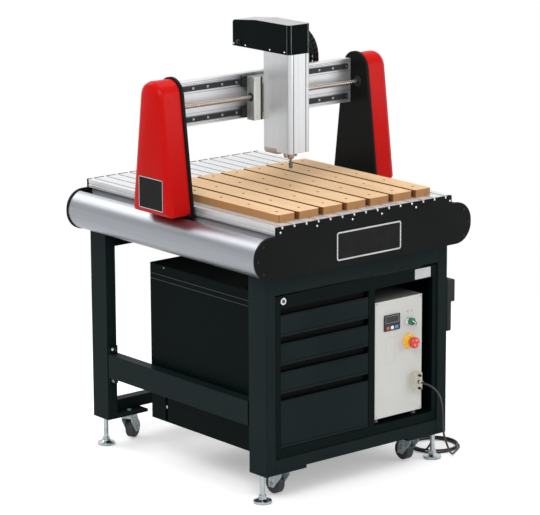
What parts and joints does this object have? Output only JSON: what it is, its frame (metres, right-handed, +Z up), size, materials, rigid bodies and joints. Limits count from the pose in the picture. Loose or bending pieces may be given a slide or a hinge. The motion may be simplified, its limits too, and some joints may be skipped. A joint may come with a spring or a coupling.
{
  "type": "cnc router",
  "caption": "Rolling-stand router: slotted table with wooden slats, moving gantry with a vertical cutting head, drawer cabinet, control box and a hand control on a cable.",
  "frame": {"origin": "centre of the footprint, on the floor", "axes": "+Z up, -Y is the front with the drawers"},
  "size_m": [1.0355, 1.0353, 1.486],
  "materials": {
    "frame_paint": "charcoal powder coat",
    "cabinet_paint": "dark powder coat",
    "drawer_paint": "dark powder coat",
    "runner_zinc": "zinc plated",
    "case_paint": "dark grey paint",
    "panel_grey": "warm light grey, satin",
    "fittings": "moulded display, bezel and collar",
    "plug_beige": "moulded hood",
    "cable_black": "black sheath",
    "pendant_grey": "dark moulded case",
    "table_alu": "anodised extrusion",
    "slat_wood": "fibreboard",
    "plate_black": "satin black",
    "cover_alu": "brushed",
    "rail_steel": "ground",
    "motor_black": "satin black",
    "cover_red": "satin red",
    "truck_dark": "dark blocks",
    "saddle_grey": "anodised",
    "chain_black": "moulded links",
    "column_alu": "anodised",
    "hood_black": "gloss black",
    "spindle_alu": "turned",
    "nut_copper": "coppery nut",
    "cutter_steel": "ground",
    "screw_steel": "ball screw",
    "lock_chrome": "plated",
    "switch_green": "green knob",
    "button_red": "red mushroom",
    "caster_zinc": "bright zinc",
    "wheel_grey": "grey tread",
    "foot_zinc": "zinc plated"
  },
  "bodies": {
    "stand": {"legs": "frame_paint", "cross_rails": "frame_paint", "side_beams": "frame_paint", "caster_plates": "frame_paint", "toolbox_shell": "cabinet_paint", "drawer_runners": "runner_zinc", "control_case": "case_paint", "control_panel": "panel_grey", "panel_fittings": "fittings", "cable_plug": "plug_beige", "cord_drop": "cable_black", "cord_coil": "cable_black", "cord_rise": "cable_black", "pendant_case": "pendant_grey", "pendant_holder": "plate_black", "table_top": "table_alu", "spoilboard": "slat_wood", "end_plates": "plate_black", "side_covers": "cover_alu", "base_beams": "table_alu", "y_rails": "rail_steel", "y_drive": "motor_black"},
    "gantry": {"gantry_plates": "plate_black", "gantry_covers": "cover_red", "gantry_beam": "table_alu", "x_rails": "rail_steel", "y_trucks": "truck_dark", "x_motor": "motor_black"},
    "carriage": {"x_saddle": "saddle_grey", "x_trucks": "truck_dark", "cable_chain": "chain_black"},
    "head": {"head_column": "column_alu", "head_cover": "hood_black", "z_motor": "motor_black", "spindle_body": "spindle_alu"},
    "spindle": {"collet_nut": "nut_copper", "cutter_bit": "cutter_steel"},
    "x_screw": {"x_screw": "screw_steel"},
    "y_screw_left": {"y_screw_left": "screw_steel"},
    "y_screw_right": {"y_screw_right": "screw_steel"},
    "z_screw": {"z_screw": "screw_steel"},
    "lock": {"lock_barrel": "lock_chrome"},
    "switch": {"switch_knob": "switch_green"},
    "estop": {"estop_button": "button_red"},
    "drawer_1": {"drawer_1": "drawer_paint"},
    "caster_fork_1": {"caster_fork_1": "caster_zinc"},
    "caster_wheel_1": {"caster_wheel_1": "wheel_grey"},
    "foot_1": {"foot_1": "foot_zinc"},
    "drawer_2": {"drawer_2": "drawer_paint"},
    "caster_fork_2": {"caster_fork_2": "caster_zinc"},
    "caster_wheel_2": {"caster_wheel_2": "wheel_grey"},
    "foot_2": {"foot_2": "foot_zinc"},
    "drawer_3": {"drawer_3": "drawer_paint"},
    "caster_fork_3": {"caster_fork_3": "caster_zinc"},
    "caster_wheel_3": {"caster_wheel_3": "wheel_grey"},
    "foot_3": {"foot_3": "foot_zinc"},
    "drawer_4": {"drawer_4": "drawer_paint"},
    "caster_fork_4": {"caster_fork_4": "caster_zinc"},
    "caster_wheel_4": {"caster_wheel_4": "wheel_grey"},
    "foot_4": {"foot_4": "foot_zinc"}
  },
  "joints": [
    {"name": "gantry_slide", "type": "slide", "parent": "stand", "child": "gantry", "axis": [0, 1, 0], "range_m": [-0.305, 0.305]},
    {"name": "carriage_slide", "type": "slide", "parent": "gantry", "child": "carriage", "axis": [1, 0, 0], "range_m": [-0.29, 0.29], "deforming": ["cable_chain"]},
    {"name": "head_slide", "type": "slide", "parent": "carriage", "child": "head", "axis": [0, 0, 1], "range_m": [-0.054, 0.095]},
    {"name": "spindle_spin", "type": "hinge", "parent": "head", "child": "spindle", "pos_m": [0, -0.125, 1], "axis": [0, 0, 1], "continuous": true},
    {"name": "x_screw_spin", "type": "hinge", "parent": "gantry", "child": "x_screw", "pos_m": [0, -0.016, 1.235], "axis": [1, 0, 0], "continuous": true},
    {"name": "y_screw_left_spin", "type": "hinge", "parent": "stand", "child": "y_screw_left", "pos_m": [-0.418, 0, 0.822], "axis": [0, 1, 0], "continuous": true},
    {"name": "y_screw_right_spin", "type": "hinge", "parent": "stand", "child": "y_screw_right", "pos_m": [0.418, 0, 0.822], "axis": [0, 1, 0], "continuous": true},
    {"name": "z_screw_spin", "type": "hinge", "parent": "head", "child": "z_screw", "pos_m": [0, -0.062, 1.2], "axis": [0, 0, 1], "continuous": true},
    {"name": "lock_turn", "type": "hinge", "parent": "stand", "child": "lock", "pos_m": [-0.315, -0.46, 0.666], "axis": [0, 1, 0], "range_deg": [0, 90]},
    {"name": "switch_turn", "type": "hinge", "parent": "stand", "child": "switch", "pos_m": [0.232, -0.456, 0.509], "axis": [0, 1, 0], "range_deg": [0, 90]},
    {"name": "estop_press", "type": "slide", "parent": "stand", "child": "estop", "axis": [0, 1, 0], "range_m": [0, 0.005], "stiffness_N_per_m": 2500},
    {"name": "drawer_1_slide", "type": "slide", "parent": "stand", "child": "drawer_1", "axis": [0, -1, 0], "range_m": [0, 0.4]},
    {"name": "caster_1_swivel", "type": "hinge", "parent": "stand", "child": "caster_fork_1", "pos_m": [-0.283, -0.407, 0.1], "axis": [0, 0, 1], "continuous": true},
    {"name": "caster_1_roll", "type": "hinge", "parent": "caster_fork_1", "child": "caster_wheel_1", "pos_m": [-0.283, -0.379, 0.0385], "axis": [1, 0, 0], "continuous": true},
    {"name": "foot_1_level", "type": "slide", "parent": "stand", "child": "foot_1", "axis": [0, 0, 1], "range_m": [-0.02, 0.006]},
    {"name": "drawer_2_slide", "type": "slide", "parent": "stand", "child": "drawer_2", "axis": [0, -1, 0], "range_m": [0, 0.4]},
    {"name": "caster_2_swivel", "type": "hinge", "parent": "stand", "child": "caster_fork_2", "pos_m": [0.283, -0.407, 0.1], "axis": [0, 0, 1], "continuous": true},
    {"name": "caster_2_roll", "type": "hinge", "parent": "caster_fork_2", "child": "caster_wheel_2", "pos_m": [0.283, -0.379, 0.0385], "axis": [1, 0, 0], "continuous": true},
    {"name": "foot_2_level", "type": "slide", "parent": "stand", "child": "foot_2", "axis": [0, 0, 1], "range_m": [-0.02, 0.006]},
    {"name": "drawer_3_slide", "type": "slide", "parent": "stand", "child": "drawer_3", "axis": [0, -1, 0], "range_m": [0, 0.4]},
    {"name": "caster_3_swivel", "type": "hinge", "parent": "stand", "child": "caster_fork_3", "pos_m": [-0.283, 0.407, 0.1], "axis": [0, 0, 1], "continuous": true},
    {"name": "caster_3_roll", "type": "hinge", "parent": "caster_fork_3", "child": "caster_wheel_3", "pos_m": [-0.25875, 0.421, 0.0385], "axis": [0.5, -0.866, 0], "continuous": true},
    {"name": "foot_3_level", "type": "slide", "parent": "stand", "child": "foot_3", "axis": [0, 0, 1], "range_m": [-0.02, 0.006]},
    {"name": "drawer_4_slide", "type": "slide", "parent": "stand", "child": "drawer_4", "axis": [0, -1, 0], "range_m": [0, 0.4]},
    {"name": "caster_4_swivel", "type": "hinge", "parent": "stand", "child": "caster_fork_4", "pos_m": [0.283, 0.407, 0.1], "axis": [0, 0, 1], "continuous": true},
    {"name": "caster_4_roll", "type": "hinge", "parent": "caster_fork_4", "child": "caster_wheel_4", "pos_m": [0.30931, 0.39742, 0.0385], "axis": [-0.342, -0.9397, 0], "continuous": true},
    {"name": "foot_4_level", "type": "slide", "parent": "stand", "child": "foot_4", "axis": [0, 0, 1], "range_m": [-0.02, 0.006]}
  ],
  "couplings": [
    {"joint": "x_screw_spin", "follows": "carriage_slide", "rad_per_m": 628.32},
    {"joint": "y_screw_left_spin", "follows": "gantry_slide", "rad_per_m": 628.32},
    {"joint": "y_screw_right_spin", "follows": "gantry_slide", "rad_per_m": 628.32},
    {"joint": "z_screw_spin", "follows": "head_slide", "rad_per_m": 1256.6}
  ]
}
